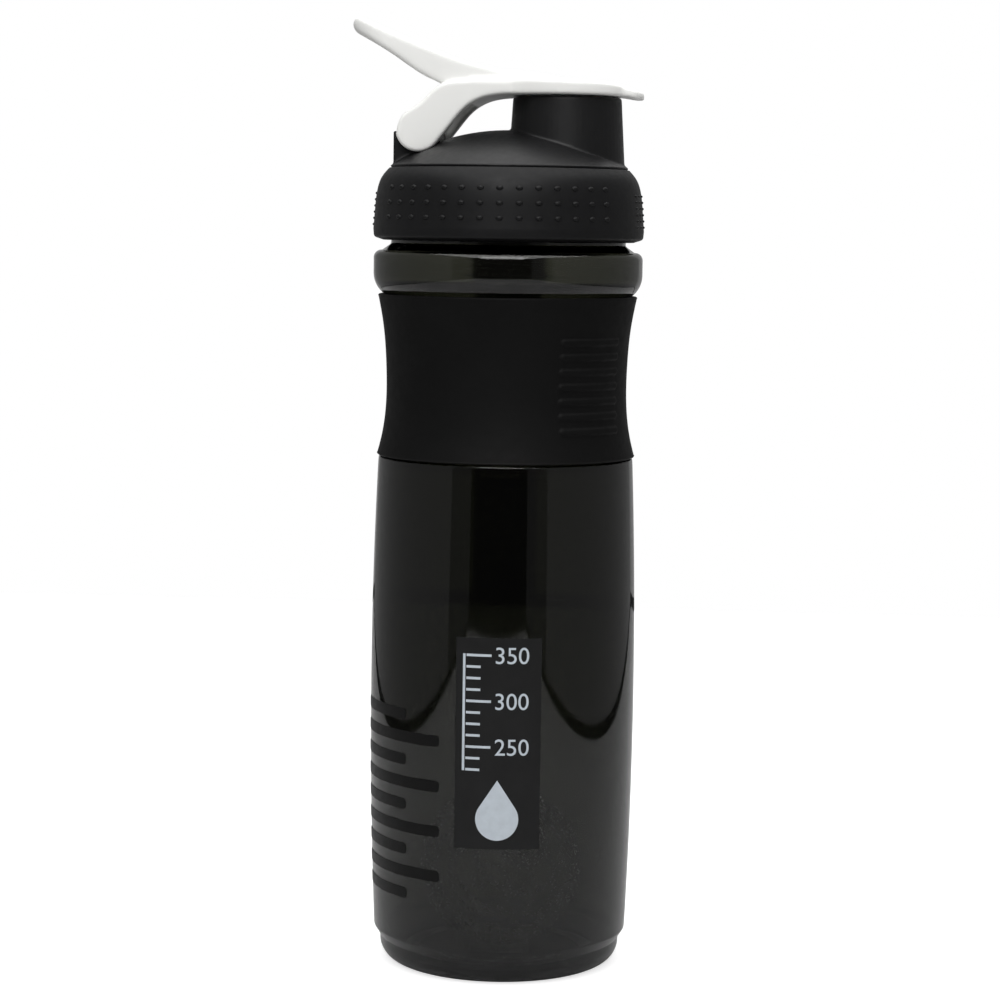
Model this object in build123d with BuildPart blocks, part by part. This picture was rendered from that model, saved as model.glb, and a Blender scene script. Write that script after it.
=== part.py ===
from build123d import *
import math
import os

# Protein shaker bottle: a blow-moulded bottle with a soft grip band, a two-start screw lid with a
# drinking spout, a flip cap with a carry loop, and a loose wire whisk ball inside.
# Millimetres. The origin is the middle of the resting face on the bottle's axis and +Z is up.
# The spout is on the +X side of the lid, and the flip cap's hinge runs along Y on the -X side.

# ---- driving dimensions -------------------------------------------------------------------------

FIT_GAP = 0.3            # between bodies that move past each other
FILM_GAP = 0.03          # under a printed film
FILM_THICKNESS = 0.15

# bottle body
WALL = 2.2
BASE_RADIUS = 34.6
BASE_ROUND = 6.0
FLOOR_Z = 3.4
FLOOR_ROUND = 5.0
FOOT_Z = 7.2
BODY_LOW = (36.4, 10.0)
BODY_MID = (37.9, 70.0)
BODY_HIGH = (36.4, 146.0)
GATE_PAD_RADIUS = 9.0
UNDERSIDE_RECESS_RADIUS = 24.0
UNDERSIDE_RECESS_DEPTH = 1.2

# grip band: its outer outline from the bottom edge to the top edge, pinched at the waist
GRIP_OUTLINE = [(36.9, 146.6), (35.6, 151.8), (34.45, 173.0), (35.4, 184.0), (36.95, 192.4)]
GRIP_THICKNESS = 1.6
GRIP_EDGE_ROUND = 0.6
WAIST_WALL = 2.0

# shoulder collar and threaded neck
COLLAR_RADIUS = 38.3
COLLAR_FOOT_RADIUS = 35.9
COLLAR_ROUND = 2.2
COLLAR_Z = (192.9, 204.8)
COLLAR_WIDEST_Z = 199.5
COLLAR_INSIDE = [(34.2, 203.0), (36.3, 199.4), (34.2, 194.8)]
NECK_RADIUS = 33.4
NECK_Z = 206.6
RIM_Z = 221.5
MOUTH_RADIUS = 31.2

# two-start thread
THREAD_LEAD = 9.0
THREAD_STARTS = 2
THREAD_Z = 209.4
THREAD_HEIGHT = 1.1
THREAD_FOOT = 2.0
THREAD_TOP = 0.9
THREAD_ROOT_BITE = 0.3
NECK_THREAD_TURNS = 1.0
LID_THREAD_TURNS = 0.7

# screw lid
LID_BORE_RADIUS = 34.9
LID_Z = 208.8
SEAT_Z = 223.4
SEAT_RIB_OUTER = 30.9
SEAT_RIB_INNER = 29.8
SEAT_RIB_Z = 218.0
DOME_EDGE = (33.8, 228.6)
DOME_TOP_Z = 239.0
DOME_THICKNESS = 2.0

# soft skirt round the lid: its outer outline
SKIRT_Z = 207.5
SKIRT_LOW = (38.5, 210.8)
SKIRT_SIDE = (38.1, 216.0)
SKIRT_SHOULDER = (37.35, 222.2)
SKIRT_CROWN = (36.35, 225.1)
SKIRT_TOP = (33.9, 228.2)
SKIRT_THICKNESS = 1.45
SKIRT_CROWN_THINNING = (0.8, 0.5)   # share of an inset that the crown and the top edge take
SKIRT_TOP_THINNING = (0.4, 0.7)
SKIRT_CORNER = (38.3, 208.5)
SKIRT_CORNER_ROUNDS = [1.2, 0.4]    # at the corner and at the inner lip
SKIRT_FOOT_INNER = 35.2     # the skirt wraps under the lid's rim as far as here

# spout
SPOUT_X = 16.2
SPOUT_BASE_RADIUS = 16.5
SPOUT_TOP_RADIUS = 15.35
SPOUT_BASE_Z = 228.9
SPOUT_TOP_Z = 248.3
SPOUT_BORE_RADIUS = 13.4
SPOUT_LIP_ROUND = 0.7

# hinge
PIVOT_X = -24.7
PIVOT_Z = 238.8
ARM_END_RADIUS = 6.5
ARM_ARC_DEG = (195.0, 324.0)     # the part of the arm's end that is a circle about the pivot
BLOCK_HALF_WIDTH = 8.9
BLOCK_BACK_X = -32.2
BLOCK_FRONT_X = -19.4
BLOCK_TOP_Z = 238.2
KNUCKLE_RADIUS = 4.9
PIN_RADIUS = 1.5
PIN_CLEARANCE = 0.05
PIN_HALF_LENGTH = 12.6

# flip cap: the side view's outline from the hinge arms to the tab, under and over
CAP_UNDERSIDE_Z = 248.6
CAP_ARCH = [(-15.0, 240.7), (-11.7, 244.5), (-6.5, 247.5)]
CAP_ARCH_END_X = 2.0
CAP_TAB_TOP_Z = 249.6
CAP_TOP_OUTLINE = [
    (33.0, 251.7), (27.0, 252.8), (16.4, 253.4), (6.0, 255.1), (-3.0, 255.6), (-12.0, 253.8),
    (-18.4, 250.2), (-24.0, 245.3), (-28.5, 241.7)]
CAP_HALF_WIDTH = 14.0
CAP_DISC_RADIUS = 17.4
CAP_TAB_X = 37.8
CAP_TAB_HALF_WIDTH = 7.5
CAP_TAB_DROOP = 0.9
CAP_SLOT_X = -10.5
CAP_TAB_CORNER = 3.0
# carry loop: a sloping plate with a round end and a finger hole
LOOP_UNDER = [(-44.9, 266.3), (-20.0, 252.0), (-14.0, 250.2), (-8.2, 251.5)]
LOOP_TOP = [(-8.2, 255.9), (-42.3, 270.2)]
LOOP_TIP = (-45.1, 269.1)
LOOP_CENTRE_X = -32.6
LOOP_HALF_WIDTH = 12.6
LOOP_HOLE_HALF_WIDTH = 7.4
LOOP_HOLE_FRONT_X = -23.5
LOOP_FRONT_X = -8.2
CUT_HEIGHT = 300.0       # taller than the whole part, for plan-view cuts

# spout seal under the cap
SEAL_TOP_RADIUS = 13.1
SEAL_BOTTOM_RADIUS = 11.9
SEAL_DEPTH = 3.2
SEAL_DISH_DEPTH = 1.6
SEAL_DISH_RADIUS = 9.5

# lid gasket
GASKET_INNER = 31.25
GASKET_OUTER = 34.55
GASKET_GAP = 0.1

# whisk ball
WIRE_RADIUS = 1.0
BALL_RADIUS = 24.0
BALL_RING_PITCH = 7.0
BALL_RINGS = 6
BALL_HOOP_STEP = 0.5

# printed films on the body: azimuth 0 is the front (-Y), positive towards the spout side
LABEL_AZIMUTH = 3.4
LABEL_WIDTH = 24.0
LABEL_Z = (39.8, 99.0)
SCALE_FIRST_Z = 61.8     # 225 ml
SCALE_PITCH = 3.2        # 12.5 ml
SCALE_MARKS = 11
SCALE_LONG_EVERY = 4     # 50 ml
SCALE_FIRST_LONG = 2     # 250 ml
SCALE_MARK_HEIGHT = 0.7
SCALE_LONG = 7.0
SCALE_SHORT = 4.0
SCALE_EDGE_OFFSET = 3.0
BAR_AZIMUTH = -80.0
BAR_FIRST_Z = 22.8       # 75 ml
BAR_PITCH = 6.4          # 25 ml
BAR_COUNT = 9
BAR_HEIGHT = 3.2
BAR_LONG_DEG = 58.0
BAR_SHORT_DEG = 40.0

os.makedirs("parts", exist_ok=True)


# ---- shared shapes ------------------------------------------------------------------------------

def radial_plane(azimuth):
    """Upright plane through the bottle's axis whose x direction points to the given azimuth."""
    turn = math.radians(azimuth - 90.0)
    outwards = (math.cos(turn), math.sin(turn), 0.0)
    return Plane(origin=(0, 0, 0), x_dir=outwards, z_dir=(outwards[1], -outwards[0], 0.0))


def body_radius(z):
    """Radius of the body's barrelled side, the circle through its low, middle and high points."""
    (r1, z1), (r2, z2), (r3, z3) = BODY_LOW, BODY_MID, BODY_HIGH
    twice_area = 2.0 * (r1 * (z2 - z3) + r2 * (z3 - z1) + r3 * (z1 - z2))
    squares = (r1**2 + z1**2, r2**2 + z2**2, r3**2 + z3**2)
    centre_r = (squares[0] * (z2 - z3) + squares[1] * (z3 - z1) + squares[2] * (z1 - z2)) / twice_area
    centre_z = (squares[0] * (r3 - r2) + squares[1] * (r1 - r3) + squares[2] * (r2 - r1)) / twice_area
    sweep_radius = math.hypot(r1 - centre_r, z1 - centre_z)
    return centre_r + math.sqrt(sweep_radius**2 - (z - centre_z) ** 2)


def body_arc(inset, z_low, z_high):
    """Arc along the body's side, moved in by inset, from z_low to z_high."""
    z_mid = (z_low + z_high) / 2.0
    points = [(body_radius(z) - inset, z) for z in (z_low, z_mid, z_high)]
    return ThreePointArc(*points)


def waist(inset):
    """The grip band's outline, moved in by inset."""
    return Spline(*[(radius - inset, z) for radius, z in GRIP_OUTLINE])


def dome_arc(drop, radius):
    """Arc of the lid's dome from its middle out to radius, lowered by drop."""
    rise = DOME_TOP_Z - DOME_EDGE[1]
    dome_radius = (DOME_EDGE[0] ** 2 + rise**2) / (2.0 * rise)
    centre_z = DOME_TOP_Z - dome_radius

    def height(r):
        return centre_z + math.sqrt((dome_radius - drop) ** 2 - r**2)

    return ThreePointArc((0, height(0)), (radius / 2, height(radius / 2)), (radius, height(radius)))


def thread_ridge(root_radius, direction, z_start, turns):
    """One helical ridge on a wall of root_radius; direction is +1 outwards and -1 inwards."""
    with BuildPart() as ridge:
        with BuildLine() as path:
            Helix(pitch=THREAD_LEAD, height=THREAD_LEAD * turns, radius=root_radius,
                  center=(0, 0, z_start))
        with BuildSketch(Plane(origin=path.line @ 0, x_dir=(direction, 0, 0), z_dir=path.line % 0)):
            with BuildLine():
                Polyline(
                    (-THREAD_ROOT_BITE, -THREAD_FOOT / 2),
                    (THREAD_HEIGHT, -THREAD_TOP / 2),
                    (THREAD_HEIGHT, THREAD_TOP / 2),
                    (-THREAD_ROOT_BITE, THREAD_FOOT / 2),
                    close=True,
                )
            make_face()
        sweep(is_frenet=True)
    return ridge.part


def film_patch(azimuth, width_deg, z_low, z_high, lift=FILM_GAP):
    """Thin printed film that follows the body's side, centred on azimuth."""
    with BuildPart() as patch:
        with BuildSketch(radial_plane(azimuth - width_deg / 2)):
            with BuildLine():
                inner = body_arc(-lift, z_low, z_high)
                outer = body_arc(-lift - FILM_THICKNESS, z_low, z_high)
                Line(inner @ 0, outer @ 0)
                Line(inner @ 1, outer @ 1)
            make_face()
        revolve(axis=Axis.Z, revolution_arc=width_deg)
    return patch.part


def save(part, name):
    part.label = name
    export_step(part, f"parts/{name}.step")


# ---- bottle -------------------------------------------------------------------------------------

BOTTLE_WAIST_INSET = GRIP_THICKNESS + FILM_GAP
INNER_WAIST_INSET = BOTTLE_WAIST_INSET + WAIST_WALL
NECK_STARTS = [360.0 / THREAD_STARTS * i for i in range(THREAD_STARTS)]
collar_edge = COLLAR_RADIUS - COLLAR_ROUND
collar_high = COLLAR_Z[1] - COLLAR_ROUND

neck_ridge = thread_ridge(NECK_RADIUS, 1, THREAD_Z, NECK_THREAD_TURNS)

with BuildPart() as bottle:
    with BuildSketch(Plane.XZ):
        with BuildLine():
            # outside, from the middle of the base up to the rim
            Line((0, 0), (BASE_RADIUS - BASE_ROUND, 0))
            CenterArc((BASE_RADIUS - BASE_ROUND, BASE_ROUND), BASE_ROUND, -90, 90)
            Line((BASE_RADIUS, BASE_ROUND), (BASE_RADIUS, FOOT_Z))
            Line((BASE_RADIUS, FOOT_Z), BODY_LOW)
            outer_side = body_arc(0, BODY_LOW[1], BODY_HIGH[1])
            outer_waist = waist(BOTTLE_WAIST_INSET)
            Line(outer_side @ 1, outer_waist @ 0)
            widest = (COLLAR_RADIUS, COLLAR_WIDEST_Z)
            collar_foot = TangentArc(widest, (COLLAR_FOOT_RADIUS, COLLAR_Z[0]), tangent=(0, -1))
            Line(outer_waist @ 1, collar_foot @ 1)
            Line(widest, (COLLAR_RADIUS, collar_high))
            CenterArc((collar_edge, collar_high), COLLAR_ROUND, 0, 90)
            Line((collar_edge, COLLAR_Z[1]), (NECK_RADIUS, NECK_Z))
            Line((NECK_RADIUS, NECK_Z), (NECK_RADIUS, RIM_Z))
            # rim and inside, back down to the floor
            Line((NECK_RADIUS, RIM_Z), (MOUTH_RADIUS, RIM_Z))
            Line((MOUTH_RADIUS, RIM_Z), (MOUTH_RADIUS, NECK_Z))
            inner_collar = ThreePointArc(*COLLAR_INSIDE)
            Line((MOUTH_RADIUS, NECK_Z), inner_collar @ 0)
            inner_waist = waist(INNER_WAIST_INSET)
            Line(inner_collar @ 1, inner_waist @ 1)
            inner_side = body_arc(WALL, BODY_LOW[1], BODY_HIGH[1] - WALL)
            Line(inner_waist @ 0, inner_side @ 1)
            floor_edge = BASE_RADIUS - WALL - FLOOR_ROUND
            Line(inner_side @ 0, (BASE_RADIUS - WALL, FLOOR_Z + FLOOR_ROUND))
            CenterArc((floor_edge, FLOOR_Z + FLOOR_ROUND), FLOOR_ROUND, 0, -90)
            Line((floor_edge, FLOOR_Z), (0, FLOOR_Z))
            Line((0, FLOOR_Z), (0, 0))
        make_face()
    revolve(axis=Axis.Z)
    for turn in NECK_STARTS:
        add(neck_ridge.rotate(Axis.Z, turn))
    with BuildSketch(Plane.XY):
        Circle(UNDERSIDE_RECESS_RADIUS)
        Circle(GATE_PAD_RADIUS, mode=Mode.SUBTRACT)
    extrude(amount=UNDERSIDE_RECESS_DEPTH, mode=Mode.SUBTRACT)
save(bottle.part, "bottle")

with BuildPart() as grip_sleeve:
    with BuildSketch(Plane.XZ):
        with BuildLine():
            outside = waist(0)
            inside = waist(GRIP_THICKNESS)
            Line(outside @ 0, inside @ 0)
            Line(outside @ 1, inside @ 1)
        make_face()
    revolve(axis=Axis.Z)
    rims = grip_sleeve.edges().filter_by(GeomType.CIRCLE).sort_by(SortBy.RADIUS)[-2:]
    fillet(rims, radius=GRIP_EDGE_ROUND)
save(grip_sleeve.part, "grip_sleeve")

# ---- printed films ------------------------------------------------------------------------------

label_width_deg = math.degrees(LABEL_WIDTH / BODY_MID[0])
label_film = film_patch(LABEL_AZIMUTH, label_width_deg, *LABEL_Z)
save(label_film, "label_film")


def scale_mark(index):
    """One tick of the volume scale, lined up along the label's edge."""
    length = SCALE_LONG if index % SCALE_LONG_EVERY == SCALE_FIRST_LONG else SCALE_SHORT
    width_deg = math.degrees(length / BODY_MID[0])
    edge = LABEL_AZIMUTH - label_width_deg / 2 + math.degrees(SCALE_EDGE_OFFSET / BODY_MID[0])
    z = SCALE_FIRST_Z + SCALE_PITCH * index
    lift = 2 * FILM_GAP + FILM_THICKNESS
    return film_patch(edge + width_deg / 2, width_deg, z, z + SCALE_MARK_HEIGHT, lift)


def side_bar(index):
    """One dark bar of the scale printed on the side, alternately short and long."""
    width_deg = BAR_LONG_DEG if index % 2 else BAR_SHORT_DEG
    z = BAR_FIRST_Z + BAR_PITCH * index
    return film_patch(BAR_AZIMUTH + width_deg / 2, width_deg, z, z + BAR_HEIGHT)


save(Compound(children=[scale_mark(i) for i in range(SCALE_MARKS)]), "scale_print")
save(Compound(children=[side_bar(i) for i in range(BAR_COUNT)]), "side_print")

# ---- whisk ball ---------------------------------------------------------------------------------

wire_path_radius = BALL_RADIUS - WIRE_RADIUS
hoop_path_radius = wire_path_radius - BALL_HOOP_STEP
ball_z = FLOOR_Z + BALL_RADIUS

with BuildPart() as whisk_ball:
    with Locations((0, 0, ball_z)):
        for ring in range(BALL_RINGS):
            height = BALL_RING_PITCH * (ring - (BALL_RINGS - 1) / 2)
            ring_radius = math.sqrt(wire_path_radius**2 - height**2)
            with Locations((0, 0, height)):
                Torus(ring_radius, WIRE_RADIUS)
        for turn in (45, 135):
            Torus(hoop_path_radius, WIRE_RADIUS, rotation=(90, 0, turn))
save(whisk_ball.part, "whisk_ball")

# ---- lid ----------------------------------------------------------------------------------------

with BuildPart() as lid_gasket:
    with BuildSketch(Plane.XY.offset(RIM_Z + GASKET_GAP)):
        Circle(GASKET_OUTER)
        Circle(GASKET_INNER, mode=Mode.SUBTRACT)
    extrude(amount=SEAT_Z - RIM_Z - 2 * GASKET_GAP)
save(lid_gasket.part, "lid_gasket")

lid_ridge_z = THREAD_Z + THREAD_LEAD / THREAD_STARTS / 2
lid_ridge = thread_ridge(LID_BORE_RADIUS, -1, lid_ridge_z, LID_THREAD_TURNS)


def skirt_side(inset):
    """The soft skirt's side and crown, moved in by inset."""
    low, middle, shoulder = [(r - inset, z) for r, z in (SKIRT_LOW, SKIRT_SIDE, SKIRT_SHOULDER)]
    crown_in, crown_down = SKIRT_CROWN_THINNING
    top_in, top_down = SKIRT_TOP_THINNING
    crown = (SKIRT_CROWN[0] - inset * crown_in, SKIRT_CROWN[1] - inset * crown_down)
    top = (SKIRT_TOP[0] - inset * top_in, SKIRT_TOP[1] - inset * top_down)
    return Spline(low, middle, shoulder, crown, top)


with BuildPart() as lid_shell:
    with BuildSketch(Plane.XZ):
        with BuildLine():
            under_skirt = skirt_side(SKIRT_THICKNESS + FILM_GAP)
            foot = (under_skirt @ 0).X
            Line((LID_BORE_RADIUS, LID_Z), (foot, LID_Z))
            Line((foot, LID_Z), under_skirt @ 0)
            top = dome_arc(0, DOME_EDGE[0])
            throat = (under_skirt @ 1).X
            Line(under_skirt @ 1, (throat, SKIRT_TOP[1] + FIT_GAP / 2))
            Line((throat, SKIRT_TOP[1] + FIT_GAP / 2), (DOME_EDGE[0], SKIRT_TOP[1] + FIT_GAP / 2))
            Line((DOME_EDGE[0], SKIRT_TOP[1] + FIT_GAP / 2), top @ 1)
            ceiling = dome_arc(DOME_THICKNESS, SEAT_RIB_INNER)
            Line(top @ 0, ceiling @ 0)
            Polyline(
                ceiling @ 1,
                (SEAT_RIB_INNER, SEAT_RIB_Z),
                (SEAT_RIB_OUTER, SEAT_RIB_Z),
                (SEAT_RIB_OUTER, SEAT_Z),
                (LID_BORE_RADIUS, SEAT_Z),
                (LID_BORE_RADIUS, LID_Z),
            )
        make_face()
    revolve(axis=Axis.Z)
    for turn in NECK_STARTS:
        add(lid_ridge.rotate(Axis.Z, turn))
    # hinge block with its knuckle
    with BuildSketch(Plane.XZ):
        with BuildLine():
            Polyline(
                (BLOCK_BACK_X, SPOUT_BASE_Z),
                (BLOCK_FRONT_X, SPOUT_BASE_Z),
                (BLOCK_FRONT_X, BLOCK_TOP_Z),
                (BLOCK_BACK_X, BLOCK_TOP_Z),
                close=True,
            )
        make_face()
        with Locations((PIVOT_X, PIVOT_Z)):
            Circle(KNUCKLE_RADIUS)
    extrude(amount=BLOCK_HALF_WIDTH, both=True)
    with BuildSketch(Plane.XZ):
        with Locations((PIVOT_X, PIVOT_Z)):
            Circle(PIN_RADIUS + PIN_CLEARANCE)
    extrude(amount=BLOCK_HALF_WIDTH, both=True, mode=Mode.SUBTRACT)
    # shallow pockets that the cap's arms turn in
    for direction in (-1, 1):
        with BuildSketch(Plane.XZ.offset(direction * BLOCK_HALF_WIDTH)):
            with Locations((PIVOT_X, PIVOT_Z)):
                Circle(ARM_END_RADIUS + FIT_GAP)
        extrude(amount=direction * (CAP_HALF_WIDTH + FIT_GAP - BLOCK_HALF_WIDTH), mode=Mode.SUBTRACT)
    # spout, open right through the dome
    with BuildSketch(Plane.XZ):
        with BuildLine():
            Polyline(
                (SPOUT_X, SPOUT_BASE_Z),
                (SPOUT_X + SPOUT_BASE_RADIUS, SPOUT_BASE_Z),
                (SPOUT_X + SPOUT_TOP_RADIUS, SPOUT_TOP_Z),
                (SPOUT_X, SPOUT_TOP_Z),
                close=True,
            )
        make_face()
    revolve(axis=Axis(origin=(SPOUT_X, 0, 0), direction=(0, 0, 1)))
    with BuildSketch(Plane.XY.offset(SEAT_Z)):
        with Locations((SPOUT_X, 0)):
            Circle(SPOUT_BORE_RADIUS)
    extrude(amount=SPOUT_TOP_Z - SEAT_Z, mode=Mode.SUBTRACT)
    lip = lid_shell.edges().filter_by(GeomType.CIRCLE).filter_by_position(
        Axis.Z, SPOUT_TOP_Z - 0.01, SPOUT_TOP_Z + 0.01)
    fillet(lip, radius=SPOUT_LIP_ROUND)
save(lid_shell.part, "lid_shell")

with BuildPart() as lid_grip:
    with BuildSketch(Plane.XZ):
        with BuildLine():
            outside = skirt_side(0)
            inside = skirt_side(SKIRT_THICKNESS)
            rim_z = LID_Z - FILM_GAP
            FilletPolyline(
                SKIRT_LOW,
                SKIRT_CORNER,
                (SKIRT_FOOT_INNER, SKIRT_Z),
                (SKIRT_FOOT_INNER, rim_z),
                radius=SKIRT_CORNER_ROUNDS,
            )
            Polyline((SKIRT_FOOT_INNER, rim_z), ((inside @ 0).X, rim_z), inside @ 0)
            Line(inside @ 1, outside @ 1)
        make_face()
    revolve(axis=Axis.Z)
save(lid_grip.part, "lid_grip")

# ---- flip cap -----------------------------------------------------------------------------------


def arm_point(angle):
    """Point on the arm's round end, at an angle about the pivot."""
    turn = math.radians(angle)
    return (PIVOT_X + ARM_END_RADIUS * math.cos(turn), PIVOT_Z + ARM_END_RADIUS * math.sin(turn))


arm_left, arm_right = [arm_point(angle) for angle in ARM_ARC_DEG]
arm_bottom = arm_point(sum(ARM_ARC_DEG) / 2)
slope = math.radians(ARM_ARC_DEG[1] + 90)
arm_end_x = PIVOT_X - ARM_END_RADIUS
tab_bottom_z = CAP_UNDERSIDE_Z - CAP_TAB_DROOP
disc_edge_x = SPOUT_X + CAP_DISC_RADIUS

with BuildPart() as carry_loop:
    with BuildSketch(Plane.XZ):
        with BuildLine():
            Polyline(*LOOP_UNDER, *LOOP_TOP)
            ThreePointArc(LOOP_TOP[-1], LOOP_TIP, LOOP_UNDER[0])
        make_face()
    extrude(amount=LOOP_HALF_WIDTH, both=True)
    with BuildSketch(Plane.XY):
        with Locations((LOOP_CENTRE_X, 0)):
            Circle(LOOP_HALF_WIDTH)
        with Locations(((LOOP_CENTRE_X + LOOP_FRONT_X) / 2, 0)):
            Rectangle(LOOP_FRONT_X - LOOP_CENTRE_X, 2 * LOOP_HALF_WIDTH)
        with Locations((LOOP_CENTRE_X, 0)):
            Circle(LOOP_HOLE_HALF_WIDTH, mode=Mode.SUBTRACT)
        with Locations(((LOOP_CENTRE_X + LOOP_HOLE_FRONT_X) / 2, 0)):
            Rectangle(LOOP_HOLE_FRONT_X - LOOP_CENTRE_X, 2 * LOOP_HOLE_HALF_WIDTH, mode=Mode.SUBTRACT)
    extrude(amount=CUT_HEIGHT, mode=Mode.INTERSECT)

with BuildPart() as flip_cap:
    # side view of the lever, from the hinge arms over the spout to the thumb tab
    with BuildSketch(Plane.XZ):
        with BuildLine():
            ThreePointArc(arm_left, arm_bottom, arm_right)
            under = Spline(
                arm_right, *CAP_ARCH, (CAP_ARCH_END_X, CAP_UNDERSIDE_Z),
                tangents=[(math.cos(slope), math.sin(slope)), (1, 0)])
            Line(under @ 1, (disc_edge_x, CAP_UNDERSIDE_Z))
            Line((disc_edge_x, CAP_UNDERSIDE_Z), (CAP_TAB_X, tab_bottom_z))
            Line((CAP_TAB_X, tab_bottom_z), (CAP_TAB_X, CAP_TAB_TOP_Z))
            Spline((CAP_TAB_X, CAP_TAB_TOP_Z), *CAP_TOP_OUTLINE, arm_left)
        make_face()
    extrude(amount=CAP_DISC_RADIUS + 1, both=True)
    # plan view: the arms' width, the disc over the spout and the tab
    with BuildSketch(Plane.XY):
        with Locations(((SPOUT_X + arm_end_x) / 2, 0)):
            Rectangle(SPOUT_X - arm_end_x, 2 * CAP_HALF_WIDTH)
        with Locations((SPOUT_X, 0)):
            Circle(CAP_DISC_RADIUS)
        with Locations(((SPOUT_X + CAP_TAB_X) / 2, 0)):
            RectangleRounded(CAP_TAB_X - SPOUT_X, 2 * CAP_TAB_HALF_WIDTH, CAP_TAB_CORNER)
    extrude(amount=CUT_HEIGHT, mode=Mode.INTERSECT)
    # gap between the two arms, for the hinge block
    with BuildSketch(Plane.XY.offset(PIVOT_Z - 2 * ARM_END_RADIUS)):
        with Locations(((CAP_SLOT_X + arm_end_x) / 2, 0)):
            Rectangle(CAP_SLOT_X - arm_end_x, 2 * (BLOCK_HALF_WIDTH + FIT_GAP))
    extrude(amount=CUT_HEIGHT, mode=Mode.SUBTRACT)
    add(carry_loop.part)
    # blind sockets for the hinge pin
    with BuildSketch(Plane.XZ):
        with Locations((PIVOT_X, PIVOT_Z)):
            Circle(PIN_RADIUS)
    extrude(amount=PIN_HALF_LENGTH, both=True, mode=Mode.SUBTRACT)
save(flip_cap.part, "flip_cap")

with BuildPart() as hinge_pin:
    with BuildSketch(Plane.XZ):
        with Locations((PIVOT_X, PIVOT_Z)):
            Circle(PIN_RADIUS)
    extrude(amount=PIN_HALF_LENGTH, both=True)
save(hinge_pin.part, "hinge_pin")

with BuildPart() as spout_seal:
    with BuildSketch(Plane.XZ):
        with BuildLine():
            Polyline(
                (SPOUT_X, CAP_UNDERSIDE_Z),
                (SPOUT_X + SEAL_TOP_RADIUS, CAP_UNDERSIDE_Z),
                (SPOUT_X + SEAL_BOTTOM_RADIUS, CAP_UNDERSIDE_Z - SEAL_DEPTH),
                (SPOUT_X + SEAL_DISH_RADIUS, CAP_UNDERSIDE_Z - SEAL_DEPTH),
                (SPOUT_X + SEAL_DISH_RADIUS, CAP_UNDERSIDE_Z - SEAL_DISH_DEPTH),
                (SPOUT_X, CAP_UNDERSIDE_Z - SEAL_DISH_DEPTH),
                close=True,
            )
        make_face()
    revolve(axis=Axis(origin=(SPOUT_X, 0, 0), direction=(0, 0, 1)))
save(spout_seal.part, "spout_seal")
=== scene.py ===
import math

import bmesh
import bpy
import numpy as np
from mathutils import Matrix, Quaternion, Vector


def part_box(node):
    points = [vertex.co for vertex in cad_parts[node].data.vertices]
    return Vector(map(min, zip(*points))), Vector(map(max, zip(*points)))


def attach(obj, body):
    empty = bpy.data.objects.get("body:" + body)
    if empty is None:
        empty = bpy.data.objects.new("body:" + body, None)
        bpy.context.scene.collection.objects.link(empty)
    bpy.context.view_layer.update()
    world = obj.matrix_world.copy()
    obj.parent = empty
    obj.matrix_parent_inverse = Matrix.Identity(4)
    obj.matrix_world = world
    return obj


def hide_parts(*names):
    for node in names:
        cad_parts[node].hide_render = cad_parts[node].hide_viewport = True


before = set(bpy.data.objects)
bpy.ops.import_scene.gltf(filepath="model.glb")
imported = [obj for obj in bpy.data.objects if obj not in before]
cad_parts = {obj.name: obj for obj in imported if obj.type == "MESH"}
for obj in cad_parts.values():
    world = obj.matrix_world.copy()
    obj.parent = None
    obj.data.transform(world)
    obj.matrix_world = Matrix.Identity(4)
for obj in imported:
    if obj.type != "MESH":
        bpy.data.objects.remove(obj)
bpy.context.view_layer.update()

# Looks for the protein shaker bottle. Outlines are written in millimetres as (radius, height) and
# turned into metres by MM when a mesh is made. Azimuth 0 is the front (-Y), positive to the spout side.

MM = 0.001
TURN = 2.0 * math.pi
SEGMENTS = 288
ON_AXIS_RADIUS = 1e-6
CUT_TOLERANCE, WELD_DISTANCE = 1e-5, 1e-4
CAD_WELD_M = 1e-6
# the rings of a wire's domed end: how far past its last point, and how wide, in wire radii
DOME_RINGS = ((0.5, 0.87), (0.87, 0.5))


def box_mm(node):
    """A CAD node's box in millimetres: (lowest corner, highest corner)."""
    low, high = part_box(node)
    return low / MM, high / MM


# ---- curves ----

def smoothstep(low, high, value):
    """0 up to low, 1 from high on, and a smooth step between."""
    t = np.clip((np.asarray(value, float) - low) / (high - low), 0.0, 1.0)
    return t * t * (3.0 - 2.0 * t)


def arc(centre, radius, start_deg, end_deg, steps=8):
    """Points on a circle's arc, in the outline's plane."""
    angles = np.radians(np.linspace(start_deg, end_deg, steps + 1))
    return [(centre[0] + radius * math.cos(a), centre[1] + radius * math.sin(a)) for a in angles]


def through(points, steps=10):
    """Smooth curve through points (a natural cubic by chord length)."""
    pts = np.array(points, float)
    t = np.concatenate([[0.0], np.cumsum(np.linalg.norm(np.diff(pts, axis=0), axis=1))])
    n = len(pts)
    h = np.diff(t)
    system = np.zeros((n, n))
    right = np.zeros_like(pts)
    system[0, 0] = system[-1, -1] = 1.0
    for i in range(1, n - 1):
        system[i, i - 1:i + 2] = h[i - 1], 2 * (h[i - 1] + h[i]), h[i]
        right[i] = 6 * ((pts[i + 1] - pts[i]) / h[i] - (pts[i] - pts[i - 1]) / h[i - 1])
    bend = np.linalg.solve(system, right)
    out = []
    for i in range(n - 1):
        for s in np.linspace(t[i], t[i + 1], steps, endpoint=False):
            a, b = t[i + 1] - s, s - t[i]
            out.append((bend[i] * a**3 + bend[i + 1] * b**3) / (6 * h[i])
                       + (pts[i] / h[i] - bend[i] * h[i] / 6) * a
                       + (pts[i + 1] / h[i] - bend[i + 1] * h[i] / 6) * b)
    out.append(pts[-1])
    return [tuple(p) for p in out]


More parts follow.
